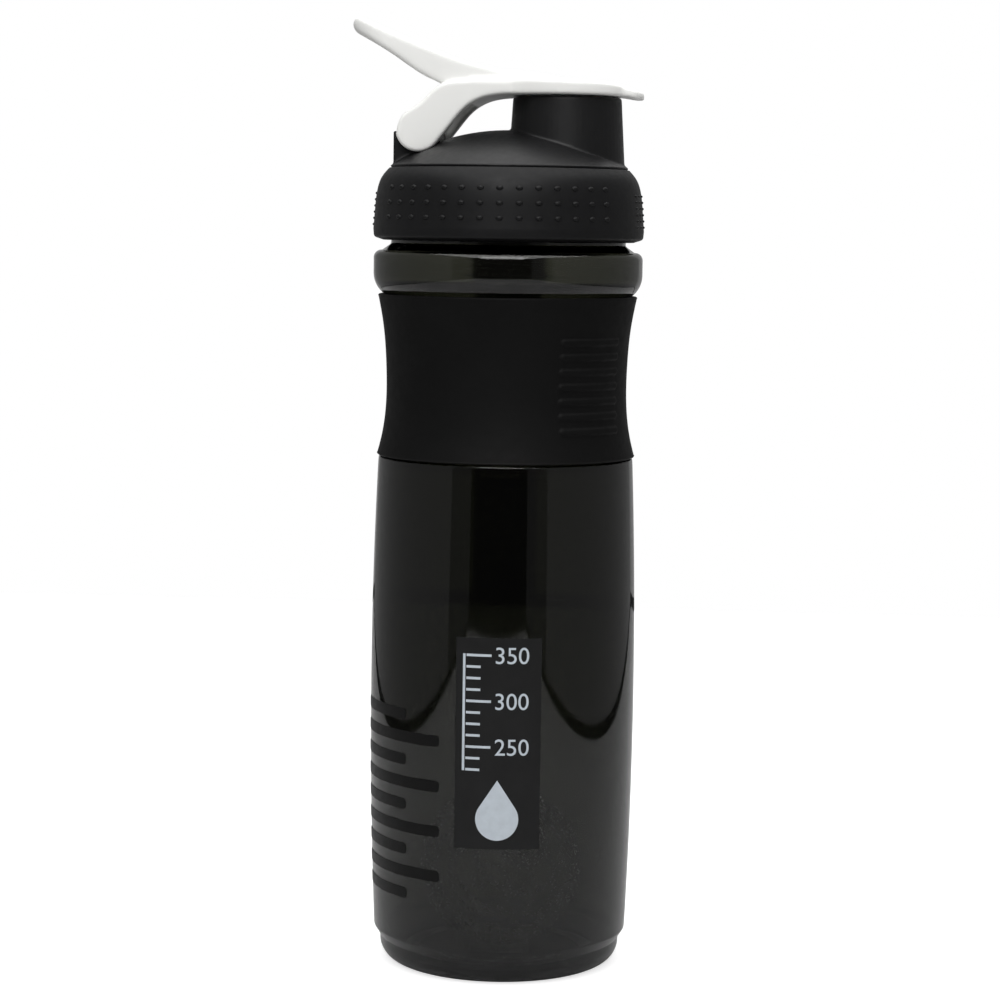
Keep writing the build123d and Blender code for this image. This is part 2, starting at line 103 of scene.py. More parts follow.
def rounded(points, radii, steps=6):
    """Polyline whose inner corners are rounded, each by its own radius."""
    out = [points[0]]
    for i, radius in enumerate(radii, 1):
        before, corner, after = (np.array(points[k], float) for k in (i - 1, i, i + 1))
        u = (before - corner) / np.linalg.norm(before - corner)
        w = (after - corner) / np.linalg.norm(after - corner)
        half = math.acos(np.clip(np.dot(u, w), -1, 1)) / 2
        cut = radius / math.tan(half)
        for s in np.linspace(0, 1, steps + 1):
            # quadratic blend from one tangent point to the other
            out.append(tuple(corner + u * cut * (1 - s) ** 2 + w * cut * s**2))
    out.append(points[-1])
    return out


def fine(points, step):
    """The same line with points no further apart than step."""
    out = [points[0]]
    for a, b in zip(points, points[1:]):
        length = math.dist(a, b)
        count = max(1, math.ceil(length / step))
        for k in range(1, count + 1):
            out.append((a[0] + (b[0] - a[0]) * k / count, a[1] + (b[1] - a[1]) * k / count))
    return out


# ---- mesh making ----

def placed(name, data):
    """A new object of the scene."""
    obj = bpy.data.objects.new(name, data)
    bpy.context.scene.collection.objects.link(obj)
    return obj


def new_mesh(name, vertices, faces):
    """A mesh from millimetre vertices."""
    mesh = bpy.data.meshes.new(name)
    mesh.from_pydata([tuple(c * MM for c in v) for v in vertices], [], faces)
    return mesh


def make_piece(name, vertices, faces, material, body, replaces=(), sharp_deg=None):
    """A mesh piece from millimetre vertices, riding on body."""
    mesh = new_mesh(name, vertices, faces)
    mesh.validate()
    mesh.shade_smooth()
    if sharp_deg:
        mesh.set_sharp_from_angle(angle=math.radians(sharp_deg))
    return settle(placed(name, mesh), material, body, replaces)


def settle(obj, material, body, replaces=()):
    """Gives a piece its material and body, and hides the CAD nodes that it stands for."""
    obj.data.materials.clear()
    obj.data.materials.append(material)
    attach(obj, body)
    if replaces:
        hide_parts(*replaces)
    return obj


def lathe_mesh(outline, segments=SEGMENTS, axis=(0.0, 0.0), relief=None):
    """Vertices and faces of a closed outline turned round a vertical axis.

    relief(azimuths, z, index) says how far each segment is pushed outwards at the outline's point
    number index, which is at height z."""
    azimuths = np.arange(segments) * TURN / segments
    cos, sin = np.cos(azimuths), np.sin(azimuths)
    vertices, rows = [], []
    for index, (radius, z) in enumerate(outline):
        if radius < ON_AXIS_RADIUS:
            rows.append([len(vertices)])
            vertices.append((axis[0], axis[1], z))
            continue
        push = relief(azimuths, z, index) if relief else 0.0
        ring = np.full(segments, radius) + push
        rows.append(list(range(len(vertices), len(vertices) + segments)))
        vertices.extend(zip(axis[0] + ring * cos, axis[1] + ring * sin, np.full(segments, z)))
    faces = []
    for low, high in zip(rows, rows[1:] + ([] if len(rows[0]) == 1 else [rows[0]])):
        for j in range(segments):
            k = (j + 1) % segments
            if len(low) == 1:
                faces.append((low[0], high[k], high[j]))
            elif len(high) == 1:
                faces.append((low[j], low[k], high[0]))
            else:
                faces.append((low[j], low[k], high[k], high[j]))
    return vertices, faces


def flat_patch(loops, u_step, v_step, thickness):
    """Closed flat solid from (u, v) outlines, cut fine enough to be wrapped round the body."""
    bm = bmesh.new()
    for loop in loops:
        bm.faces.new([bm.verts.new((u, v, 0.0)) for u, v in loop])
    return finish_patch(bm, u_step, v_step, thickness)


def finish_patch(bm, u_step, v_step, thickness):
    """Cuts the flat faces of bm into a grid and gives them a thickness along w."""
    for axis, step in ((0, u_step), (1, v_step)):
        values = [v.co[axis] for v in bm.verts]
        place = math.floor(min(values) / step) * step + step
        while place < max(values):
            normal = Vector((1, 0, 0)) if axis == 0 else Vector((0, 1, 0))
            geometry = bm.verts[:] + bm.edges[:] + bm.faces[:]
            bmesh.ops.bisect_plane(bm, geom=geometry, dist=CUT_TOLERANCE,
                                   plane_co=normal * place, plane_no=normal)
            place += step
    bmesh.ops.remove_doubles(bm, verts=bm.verts[:], dist=WELD_DISTANCE)
    raised = bmesh.ops.extrude_face_region(bm, geom=bm.faces[:])
    for element in raised["geom"]:
        if isinstance(element, bmesh.types.BMVert):
            element.co.z += thickness
    bmesh.ops.recalc_face_normals(bm, faces=bm.faces[:])
    bm.verts.index_update()
    vertices = [tuple(v.co) for v in bm.verts]
    faces = [tuple(v.index for v in f.verts) for f in bm.faces]
    bm.free()
    return vertices, faces


def wrap(vertices, azimuth_deg, lift):
    """Moves flat (u, v, w) points onto the body's side at an azimuth, lifted off the wall."""
    out = []
    for u, v, w in vertices:
        radius = body_radius(v) + lift
        angle = math.radians(azimuth_deg - 90.0) + u / radius
        out.append(((radius + w) * math.cos(angle), (radius + w) * math.sin(angle), v))
    return out


def joined(parts):
    """One vertex and face list from several."""
    vertices, faces = [], []
    for some_vertices, some_faces in parts:
        faces.extend(tuple(i + len(vertices) for i in face) for face in some_faces)
        vertices.extend(some_vertices)
    return vertices, faces


def tube(points, radius, sides=14):
    """Round wire along points, with domed ends."""
    pts = [Vector(p) for p in points]
    final = len(pts) - 1
    tangents = [(pts[min(i + 1, final)] - pts[max(i - 1, 0)]).normalized() for i in range(len(pts))]
    normal = tangents[0].orthogonal().normalized()
    rings = []
    for i, (point, tangent) in enumerate(zip(pts, tangents)):
        normal = (normal - tangent * normal.dot(tangent)).normalized()
        rings.append((point, tangent, normal.copy(), 1.0))
    first, last = rings[0], rings[-1]
    for lift, shrink in DOME_RINGS:
        rings.insert(0, (first[0] - first[1] * radius * lift, first[1], first[2], shrink))
        rings.append((last[0] + last[1] * radius * lift, last[1], last[2], shrink))
    vertices, faces = [tuple(first[0] - first[1] * radius)], []
    for point, tangent, normal, shrink in rings:
        side = tangent.cross(normal)
        for s in range(sides):
            a = TURN * s / sides
            offset = (normal * math.cos(a) + side * math.sin(a)) * radius * shrink
            vertices.append(tuple(point + offset))
    vertices.append(tuple(last[0] + last[1] * radius))
    for s in range(sides):
        nxt = (s + 1) % sides
        faces.append((0, 1 + nxt, 1 + s))
        for r in range(len(rings) - 1):
            low, high = 1 + r * sides, 1 + (r + 1) * sides
            faces.append((low + s, low + nxt, high + nxt, high + s))
        end = 1 + (len(rings) - 1) * sides
        faces.append((end + s, end + nxt, len(vertices) - 1))
    return vertices, faces


def grown_together(mesh, name, voxel, passes):
    """One even closed skin round overlapping closed shapes, smoothed like a moulding."""
    obj = placed(name, mesh)
    remesh = obj.modifiers.new("even", "REMESH")
    remesh.mode = "VOXEL"
    remesh.voxel_size = voxel * MM
    smooth = obj.modifiers.new("soften", "SMOOTH")
    smooth.factor = 0.5
    smooth.iterations = passes
    bpy.context.view_layer.update()
    evaluated = obj.evaluated_get(bpy.context.evaluated_depsgraph_get())
    shaped = bpy.data.meshes.new_from_object(evaluated)
    obj.modifiers.clear()
    obj.data = shaped
    obj.data.name = name
    obj.data.shade_smooth()
    return obj


def moulded_copy(node, name, voxel, passes):
    """A CAD node's shape with the soft corners of a moulding."""
    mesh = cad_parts[node].data.copy()
    bm = bmesh.new()
    bm.from_mesh(mesh)
    bmesh.ops.remove_doubles(bm, verts=bm.verts[:], dist=CAD_WELD_M)
    bm.to_mesh(mesh)
    bm.free()
    return grown_together(mesh, name, voxel, passes)


# ---- materials ----

NOISE_LOW, NOISE_HIGH = 0.3, 0.7  # most of a noise texture's values are between these
EVEN = (1.0, 1.0, 1.0)


class Finish:
    """A Principled material with object-space noise for grain, colour and gloss variation."""

    def __init__(self, name, color, roughness, **sockets):
        self.material = bpy.data.materials.new(name)
        self.material.use_nodes = True
        self.nodes = self.material.node_tree.nodes
        self.links = self.material.node_tree.links
        self.shader = self.nodes["Principled BSDF"]
        self.shader.inputs["Base Color"].default_value = (*color, 1.0)
        self.shader.inputs["Roughness"].default_value = roughness
        for socket, value in sockets.items():
            self.shader.inputs[socket.replace("_", " ")].default_value = value
        self.color, self.roughness = color, roughness
        self.place = self.nodes.new("ShaderNodeTexCoord").outputs["Object"]
        self.height = None

    def noise(self, size_mm, detail=3.0, stretch=EVEN):
        """Noise whose features are about size_mm across."""
        mapping = self.nodes.new("ShaderNodeMapping")
        mapping.inputs["Scale"].default_value = stretch
        self.links.new(self.place, mapping.inputs["Vector"])
        texture = self.nodes.new("ShaderNodeTexNoise")
        texture.inputs["Scale"].default_value = 1.0 / (size_mm * MM)
        texture.inputs["Detail"].default_value = detail
        self.links.new(mapping.outputs["Vector"], texture.inputs["Vector"])
        return texture.outputs["Fac"]

    def vary_roughness(self, size_mm, amount):
        """Lets the roughness drift up and down by amount."""
        spread = self.nodes.new("ShaderNodeMapRange")
        spread.inputs["From Min"].default_value = NOISE_LOW
        spread.inputs["From Max"].default_value = NOISE_HIGH
        spread.inputs["To Min"].default_value = self.roughness - amount
        spread.inputs["To Max"].default_value = self.roughness + amount
        self.links.new(self.noise(size_mm), spread.inputs["Value"])
        self.links.new(spread.outputs["Result"], self.shader.inputs["Roughness"])
        return self

    def vary_color(self, size_mm, factor):
        """Lets the colour drift between itself and factor times itself."""
        ramp = self.nodes.new("ShaderNodeValToRGB")
        ramp.color_ramp.elements[0].position = NOISE_LOW
        ramp.color_ramp.elements[1].position = NOISE_HIGH
        ramp.color_ramp.elements[0].color = (*self.color, 1.0)
        ramp.color_ramp.elements[1].color = (*[c * factor for c in self.color], 1.0)
        self.links.new(self.noise(size_mm), ramp.inputs["Fac"])
        self.links.new(ramp.outputs["Color"], self.shader.inputs["Base Color"])
        return self

    def grain(self, size_mm, depth_mm, detail=2.0, stretch=EVEN):
        """Bump of that depth on top of any bump already there."""
        bump = self.nodes.new("ShaderNodeBump")
        bump.inputs["Strength"].default_value = 1.0
        bump.inputs["Distance"].default_value = depth_mm * MM
        self.links.new(self.noise(size_mm, detail, stretch), bump.inputs["Height"])
        if self.height:
            self.links.new(self.height, bump.inputs["Normal"])
        self.height = bump.outputs["Normal"]
        self.links.new(self.height, self.shader.inputs["Normal"])
        return self


SMOKE_COLOR, SMOKE_DENSITY = (0.513, 0.520, 0.454, 1.0), 2300.0


def smoky_copolyester():
    """Clear plastic that darkens with the thickness of its wall, with faint moulding waves."""
    finish = Finish("smoky_copolyester", (1.0, 1.0, 1.0), 0.035, Transmission_Weight=1.0, IOR=1.54)
    finish.vary_roughness(9.0, 0.015).grain(24.0, 0.05, detail=1.0, stretch=(1.0, 1.0, 0.35))
    absorption = finish.nodes.new("ShaderNodeVolumeAbsorption")
    absorption.inputs["Color"].default_value = SMOKE_COLOR
    absorption.inputs["Density"].default_value = SMOKE_DENSITY
    output = finish.nodes["Material Output"]
    finish.links.new(absorption.outputs["Volume"], output.inputs["Volume"])
    return finish.material


def moulded_finish(name, color, roughness, color_drift, gloss_drift, *grains, **sockets):
    """A finish whose colour and gloss drift a little, over one or more fine grains."""
    finish = Finish(name, color, roughness, **sockets)
    finish.vary_color(*color_drift).vary_roughness(*gloss_drift)
    for size_mm, depth_mm in grains:
        finish.grain(size_mm, depth_mm)
    return finish.material


# ---- body outline ----

BODY_LOW, BODY_MID, BODY_HIGH = (36.4, 10.0), (37.9, 70.0), (36.4, 146.0)
WALL = 2.2


def circle_through(a, b, c):
    """Centre and radius of the circle through three outline points."""
    (ax, ay), (bx, by), (cx, cy) = a, b, c
    d = 2 * (ax * (by - cy) + bx * (cy - ay) + cx * (ay - by))
    sa, sb, sc = ax * ax + ay * ay, bx * bx + by * by, cx * cx + cy * cy
    x = (sa * (by - cy) + sb * (cy - ay) + sc * (ay - by)) / d
    y = (sa * (cx - bx) + sb * (ax - cx) + sc * (bx - ax)) / d
    return (x, y), math.hypot(ax - x, ay - y)


BODY_CENTRE, BODY_SWEEP = circle_through(BODY_LOW, BODY_MID, BODY_HIGH)


def body_radius(z):
    """Radius of the barrelled side at a height."""
    return BODY_CENTRE[0] + math.sqrt(BODY_SWEEP**2 - (z - BODY_CENTRE[1]) ** 2)


def body_side(inset, z_low, z_high, step=4.0):
    """The barrelled side between two heights, inset from its outside."""
    count = max(1, round((z_high - z_low) / step))
    return [(body_radius(z) - inset, z) for z in np.linspace(z_low, z_high, count + 1)]


# ---- bottle ----

BASE_RADIUS, BASE_ROUND, FOOT_Z = 34.6, 6.0, 7.2
FOOT_ROUNDS, FOOT_BLEND_Z = (0.6, 1.6), 14.0
SIDE_Z, SHOULDER_ROUNDS, SHOULDER_INSET = (18.0, 144.4), (0.5, 0.4), 0.05
INNER_SIDE_Z, FLOOR_Z, FLOOR_ROUND, FLOOR_FLAT_RADIUS = (10.0, 143.6), 3.4, 5.0, 14.0
GATE_PAD_RADIUS, GATE_PAD_SLOPE = 9.0, 0.6
RECESS_RADIUS, RECESS_SLOPE, RECESS_DEPTH = 24.0, 0.8, 1.2
GRIP_OUTLINE = [(36.9, 146.6), (35.6, 151.8), (34.45, 173.0), (35.4, 184.0), (36.95, 192.4)]
GRIP_THICKNESS, GRIP_GAP, WAIST_WALL = 1.6, 0.05, 2.0
COLLAR_RADIUS, COLLAR_ROUND, COLLAR_FOOT, COLLAR_Z = 38.3, 2.2, (35.9, 192.9), (198.4, 204.8)
COLLAR_INSIDE, COLLAR_INSIDE_ROUNDS = [(37.1, 203.9), (36.9, 196.4), (34.0, 193.6)], (0.8, 1.6, 1.8)
NECK_RADIUS, NECK_Z, NECK_FOOT_ROUND = 33.4, 206.6, 0.8
RIM_Z, RIM_ROUND, MOUTH_RADIUS = 221.5, 0.5, 31.2
THREAD_LEAD, THREAD_Z, THREAD_TURNS, THREAD_STARTS = 9.0, 209.4, 1.0, 2
THREAD_HEIGHT, THREAD_FOOT, THREAD_TOP, THREAD_RUN_OUT = 1.1, 1.9, 0.9, 0.06
NECK_RING_STEP = 0.22


def waist(inset, steps=10):
    """The waist's curve under the grip band, inset from the band's outside."""
    return through([(radius - inset, z) for radius, z in GRIP_OUTLINE], steps)


def collar(steps=30):
    """Outside of the shoulder collar: a long curve out from its foot, then a round top edge."""
    widest, top = COLLAR_Z
    across, up = COLLAR_RADIUS - COLLAR_FOOT[0], widest - COLLAR_FOOT[1]
    radius = (across**2 + up**2) / (2 * across)
    low = arc((COLLAR_RADIUS - radius, widest), radius, -math.degrees(math.asin(up / radius)), 0, steps)
    return low + arc((COLLAR_RADIUS - COLLAR_ROUND, top - COLLAR_ROUND), COLLAR_ROUND, 0, 90, 12)


def thread_relief(azimuths, z):
    """Height of the neck's two-start thread at one level, all the way round."""
    push = np.zeros_like(azimuths)
    for start in range(THREAD_STARTS):
        turned = (azimuths - TURN * start / THREAD_STARTS) % TURN / TURN
        for lap in (-1, 0, 1):
            along = turned + lap
            distance = np.abs(z - THREAD_Z - THREAD_LEAD * along)
            ridge = 1.0 - smoothstep(THREAD_TOP / 2, THREAD_FOOT / 2, distance)
            run_in = smoothstep(0, THREAD_RUN_OUT, along)
            run_out = smoothstep(0, THREAD_RUN_OUT, THREAD_TURNS - along)
            push = np.maximum(push, THREAD_HEIGHT * ridge * (run_in * run_out))
    return push


def bottle_outside():
    """Outside of the bottle, from the middle of its base to the foot of its neck."""
    base = [(0.0, 0.0), (GATE_PAD_RADIUS, 0.0), (GATE_PAD_RADIUS + GATE_PAD_SLOPE, RECESS_DEPTH),
            (RECESS_RADIUS - RECESS_SLOPE, RECESS_DEPTH), (RECESS_RADIUS, 0.0)]
    base += arc((BASE_RADIUS - BASE_ROUND, BASE_ROUND), BASE_ROUND, -90, 0, 16)
    foot = [(BASE_RADIUS, BASE_ROUND + 0.2), (BASE_RADIUS, FOOT_Z), BODY_LOW,
            (body_radius(FOOT_BLEND_Z), FOOT_BLEND_Z)]
    side_top, shoulder_z = SIDE_Z[1], BODY_HIGH[1]
    under_grip = waist(GRIP_THICKNESS + GRIP_GAP)
    shoulder = [(body_radius(side_top), side_top),
                (body_radius(shoulder_z) - SHOULDER_INSET, shoulder_z), *under_grip[:2]]
    top = collar()
    neck_foot = [(top[-1][0] - 0.2, top[-1][1]), (NECK_RADIUS, NECK_Z), (NECK_RADIUS, NECK_Z + 1.6)]
    return (base + rounded(foot, FOOT_ROUNDS, 6)[1:] + body_side(0, *SIDE_Z)
            + rounded(shoulder, SHOULDER_ROUNDS, 4)[1:] + under_grip[2:] + top
            + rounded(neck_foot, (NECK_FOOT_ROUND,), 5))


def bottle_inside():
    """Rim and inside of the bottle, from the neck's outer edge to the middle of the floor."""
    middle, half = (NECK_RADIUS + MOUTH_RADIUS) / 2, (NECK_RADIUS - MOUTH_RADIUS) / 2
    outer_edge = [(NECK_RADIUS, RIM_Z - 0.7), (NECK_RADIUS, RIM_Z), (middle, RIM_Z)]
    inner_edge = [(middle, RIM_Z), (MOUTH_RADIUS, RIM_Z), (MOUTH_RADIUS, RIM_Z - half)]
    mouth = [(MOUTH_RADIUS, RIM_Z - 2.0), (MOUTH_RADIUS, NECK_Z + 1.0)]
    shoulder = [(MOUTH_RADIUS, NECK_Z + 0.9), (MOUTH_RADIUS, COLLAR_INSIDE[0][1] + 1.0), *COLLAR_INSIDE]
    under_grip = waist(GRIP_THICKNESS + GRIP_GAP + WAIST_WALL)
    low_side, side_foot = body_side(WALL, *INNER_SIDE_Z), BASE_RADIUS - WALL
    floor = [(side_foot, FLOOR_Z + FLOOR_ROUND + 1.0), (side_foot, FLOOR_Z),
             (side_foot - FLOOR_ROUND - 1.0, FLOOR_Z)]
    return (rounded(outer_edge, (RIM_ROUND,), 5) + rounded(inner_edge, (RIM_ROUND,), 5)[1:]
            + fine(mouth, 3.0) + rounded(shoulder, COLLAR_INSIDE_ROUNDS, 12)[1:]
            + under_grip[-2:0:-1] + low_side[::-1]
            + rounded(floor, (FLOOR_ROUND,), 10) + [(FLOOR_FLAT_RADIUS, FLOOR_Z), (0.0, FLOOR_Z)])


def build_bottle(material):
    """One closed double wall, with the thread raised from the rings of its neck."""
    outside = bottle_outside()
    neck = fine([(NECK_RADIUS, NECK_Z + 1.7), (NECK_RADIUS, RIM_Z - 0.8)], NECK_RING_STEP)
    threaded = range(len(outside), len(outside) + len(neck))

    def relief(azimuths, z, index):
        return thread_relief(azimuths, z) if index in threaded else 0.0

    vertices, faces = lathe_mesh(outside + neck + bottle_inside(), relief=relief)
    return make_piece("bottle_shell", vertices, faces, material, "bottle",
                      ["bottle"], sharp_deg=50)


# ---- grip band ----

RIB_AZIMUTH, RIB_HALF_LENGTH, RIB_HALF_WIDTH, RIB_EDGE = 49.0, 10.5, 0.9, 0.7
RIB_FIRST_Z, RIB_PITCH, RIB_COUNT, RIB_HEIGHT = 155.5, 4.1, 7, 0.55
GRIP_SEGMENTS, GRIP_RING_STEP, GRIP_EDGE = 576, 0.32, 0.55


def rib_relief(azimuths, z, radius):
    """Two stacks of raised rounded bars on opposite sides of the grip band."""
    push = np.zeros_like(azimuths)
    foot, top = RIB_HALF_WIDTH + RIB_EDGE / 2, RIB_HALF_WIDTH - RIB_EDGE / 2
    for side in (0.0, math.pi):
        centre = math.radians(RIB_AZIMUTH - 90.0) + side
        off = (azimuths - centre + math.pi) % TURN - math.pi
        along = np.maximum(np.abs(off) * radius - RIB_HALF_LENGTH, 0.0)
        for k in range(RIB_COUNT):
            distance = np.hypot(along, z - RIB_FIRST_Z - RIB_PITCH * k)
            push = np.maximum(push, RIB_HEIGHT * (1.0 - smoothstep(top, foot, distance)))
    return push


def build_grip(material):
    """The soft band: a ribbed outside with round edges, and a plain inside."""
    outer = waist(0.0, 14)
    low, high = outer[0], outer[-1]
    outside = arc((low[0] - GRIP_EDGE, low[1] + GRIP_EDGE), GRIP_EDGE, -100, -15, 6)
    outside += fine(outer, GRIP_RING_STEP)[3:-3]
    wall_count = len(outside)
    outside += arc((high[0] - GRIP_EDGE, high[1] - GRIP_EDGE), GRIP_EDGE, 15, 100, 6)
    inside = waist(GRIP_THICKNESS, 6)[::-1]

    def relief(azimuths, z, index):
        return rib_relief(azimuths, z, outside[index][0]) if index < wall_count else 0.0

    vertices, faces = lathe_mesh(outside + inside, GRIP_SEGMENTS, relief=relief)
    return make_piece("grip_band", vertices, faces, material, "bottle",
                      ["grip_sleeve"], sharp_deg=50)


# ---- prints on the body ----

LABEL_AZIMUTH, LABEL_WIDTH = 3.4, 24.0
FILM_LIFT, FILM_THICKNESS = 0.03, 0.1
INK_LIFT, INK_THICKNESS = 0.15, 0.04
SCALE_EDGE, SCALE_LONG, SCALE_SHORT, SCALE_LINE, SCALE_GAP = 3.0, 7.0, 4.0, 0.7, 0.3
SCALE_MARKS, NUMERALS = 11, {2: "250", 6: "300", 10: "350"}
DIGIT_HEIGHT, DIGIT_GAP = 4.6, 1.2
DROP_WIDTH, DROP_HEIGHT = 12.0, 17.0
BAR_AZIMUTH, BAR_COUNT, BAR_HEIGHT, BAR_ROUND = -80.0, 9, 3.2, 1.2
BAR_LONG_DEG, BAR_SHORT_DEG = 58.0, 40.0


def rectangle(u_low, u_high, v_low, v_high):
    """Corners of a flat rectangle."""
    return [(u_low, v_low), (u_high, v_low), (u_high, v_high), (u_low, v_high)]


def build_label(material):
    """The dark film on the front."""
    low, high = box_mm("label_film")
    half = LABEL_WIDTH / 2
    vertices, faces = flat_patch([rectangle(-half, half, low.z, high.z)], u_step=1.0, v_step=3.0,
                                 thickness=FILM_THICKNESS)
    return make_piece("label_panel", wrap(vertices, LABEL_AZIMUTH, FILM_LIFT), faces, material,
                      "bottle", ["label_film"], sharp_deg=40)


def digits_patch(text, u, v, height):
    """Printed numerals as a flat cut patch, their left edge at u and their middle at v."""
    curve = bpy.data.curves.new("numerals", "FONT")
    curve.body = text
    curve.resolution_u = 6
    writer = placed("numerals", curve)
    mesh = bpy.data.meshes.new_from_object(writer)
    bm = bmesh.new()
    bm.from_mesh(mesh)
    low_x = min(p.co.x for p in bm.verts)
    low_y, high_y = min(p.co.y for p in bm.verts), max(p.co.y for p in bm.verts)
    scale = height / (high_y - low_y)
    for point in bm.verts:
        point.co.x = (point.co.x - low_x) * scale + u
        point.co.y = (point.co.y - (low_y + high_y) / 2) * scale + v
    bpy.data.objects.remove(writer)
    bpy.data.curves.remove(curve)
    bpy.data.meshes.remove(mesh)
    return finish_patch(bm, u_step=0.8, v_step=4.0, thickness=INK_THICKNESS)


def drop_outline(u, v, width, height, steps=48):
    """A plain water drop, its round end down."""
    radius = width / 2
    centre_v = v - height / 2 + radius
    reach = height - radius
    lean = math.degrees(math.acos(radius / reach))
    curve = arc((u, centre_v), radius, 90 + lean, 450 - lean, steps)
    return curve + [(u, centre_v + reach)]


def build_scale_print(material):
    """White volume scale with numerals over a plain drop."""
    low, high = box_mm("scale_print")
    edge = -LABEL_WIDTH / 2 + SCALE_EDGE
    first, last = low.z, high.z - SCALE_LINE
    pitch = (last - first) / (SCALE_MARKS - 1)
    loops = [rectangle(edge - SCALE_LINE - SCALE_GAP, edge - SCALE_GAP, first, high.z)]
    for k in range(SCALE_MARKS):
        length = SCALE_LONG if k in NUMERALS else SCALE_SHORT
        loops.append(rectangle(edge, edge + length, first + pitch * k, first + pitch * k + SCALE_LINE))
    patches = [flat_patch(loops, u_step=0.8, v_step=4.0, thickness=INK_THICKNESS)]
    for k, text in NUMERALS.items():
        middle = first + pitch * k + SCALE_LINE / 2
        patches.append(digits_patch(text, edge + SCALE_LONG + DIGIT_GAP, middle, DIGIT_HEIGHT))
    drop = drop_outline(0.0, (box_mm("label_film")[0].z + first) / 2, DROP_WIDTH, DROP_HEIGHT)
    patches.append(flat_patch([drop], u_step=0.8, v_step=2.0, thickness=INK_THICKNESS))
    vertices, faces = joined(patches)
    return make_piece("scale_marks", wrap(vertices, LABEL_AZIMUTH, INK_LIFT), faces, material,
                      "bottle", ["scale_print"], sharp_deg=40)


def build_side_print(material):
    """Dark bars, alternately short and long, on the left side of the body."""
    low, high = box_mm("side_print")
    pitch = (high.z - low.z - BAR_HEIGHT) / (BAR_COUNT - 1)
    patches = []
    for k in range(BAR_COUNT):
        v = low.z + pitch * k
        width = math.radians(BAR_LONG_DEG if k % 2 else BAR_SHORT_DEG) * body_radius(v)
        end = rounded([(width / 2, v), (width, v), (width, v + BAR_HEIGHT),
                       (width / 2, v + BAR_HEIGHT)], (BAR_ROUND, BAR_ROUND), 5)[1:-1]
        mirror = [(width - u, w) for u, w in reversed(end)]
        patches.append(flat_patch([end + mirror], u_step=1.2, v_step=4.0, thickness=FILM_THICKNESS))
    vertices, faces = joined(patches)
    return make_piece("side_bars", wrap(vertices, BAR_AZIMUTH, FILM_LIFT), faces, material,
                      "bottle", ["side_print"], sharp_deg=40)


# ---- whisk ball ----

BALL_WIRE, BALL_LOOPS, BALL_POINTS, BALL_GAP = 1.0, 9, 900, 0.1
BALL_TILT_AXIS, BALL_TILT_DEG = (1.0, 0.35, 0.0), 62.0
BALL_START, BALL_SPAN = 0.035, 0.93
BALL_TUCK, BALL_TUCK_POINTS = 0.12, 12.0


def build_ball(material):
    """One long wire wound into a ball as a spiral from pole to pole, with its ends tucked in."""
    low, high = box_mm("whisk_ball")
    centre = (low + high) / 2
    radius = (high.z - low.z) / 2 - BALL_WIRE - BALL_GAP
    tilt = Quaternion(Vector(BALL_TILT_AXIS), math.radians(BALL_TILT_DEG))
    points = []
    for k in range(BALL_POINTS + 1):
        t = BALL_START + BALL_SPAN * k / BALL_POINTS
        polar, turn = math.pi * t, TURN * BALL_LOOPS * t
        ends = math.exp(-k / BALL_TUCK_POINTS) + math.exp(-(BALL_POINTS - k) / BALL_TUCK_POINTS)
        point = Vector((math.sin(polar) * math.cos(turn), math.sin(polar) * math.sin(turn),
                        math.cos(polar)))
        points.append(centre + tilt @ (point * radius * (1.0 - BALL_TUCK * ends)))
    vertices, faces = tube(points, BALL_WIRE)
    return make_piece("mixing_ball", vertices, faces, material, "whisk", ["whisk_ball"])


# ---- lid ----

SKIRT_Z, SKIRT_THICKNESS, SKIRT_CORNER = 207.5, 1.45, (38.3, 208.5)
SKIRT_FOOT_INNER, SKIRT_LIP, LID_RIM_Z = 35.2, 0.8, 208.77
SKIRT_FOOT_ROUNDS, SKIRT_TOP_ROUND = (0.2, 0.4, 1.2), 0.35
SKIRT_OUTLINE = [(38.5, 210.8), (38.1, 216.0), (37.35, 222.2), (36.35, 225.1), (33.9, 228.2)]
DOTS_CENTRE_DEG, DOT_SINK = -3.0, 0.15
FRONT_DOTS = {"columns": 14, "pitch_deg": 8.15, "rows": (214.1, 218.2, 222.3)}
FRONT_DOT = {"half_wide": 1.05, "half_high": 0.72, "height": 0.55, "sides": 16, "rings": 5}
SIDE_DOTS = {"columns": 5, "pitch_deg": 5.5, "rows": [212.0 + 1.75 * k for k in range(6)]}
SIDE_DOT = {"half_wide": 1.1, "half_high": 0.42, "height": 0.32, "sides": 14, "rings": 4}
LID_VOXEL, LID_PASSES = 0.36, 4
GASKET_INNER, GASKET_ROUND = 31.25, 0.35
SEAL_BOTTOM_RADIUS, SEAL_DISH_RADIUS, SEAL_DISH = 11.9, 9.5, 1.6
SEAL_ROUNDS, SEAL_SEGMENTS = (0.5, 0.5, 0.7, 0.2), 160


def skirt_side(inset, steps=10):
    """The skirt's side from its widest ring up to the dome, inset less where the wall thins out."""
    low, side, shoulder = [(r - inset, z) for r, z in SKIRT_OUTLINE[:3]]
    crown = (SKIRT_OUTLINE[3][0] - inset * 0.8, SKIRT_OUTLINE[3][1] - inset * 0.5)
    top = (SKIRT_OUTLINE[4][0] - inset * 0.4, SKIRT_OUTLINE[4][1] - inset * 0.7)
    return through([low, side, shoulder, crown, top], steps)


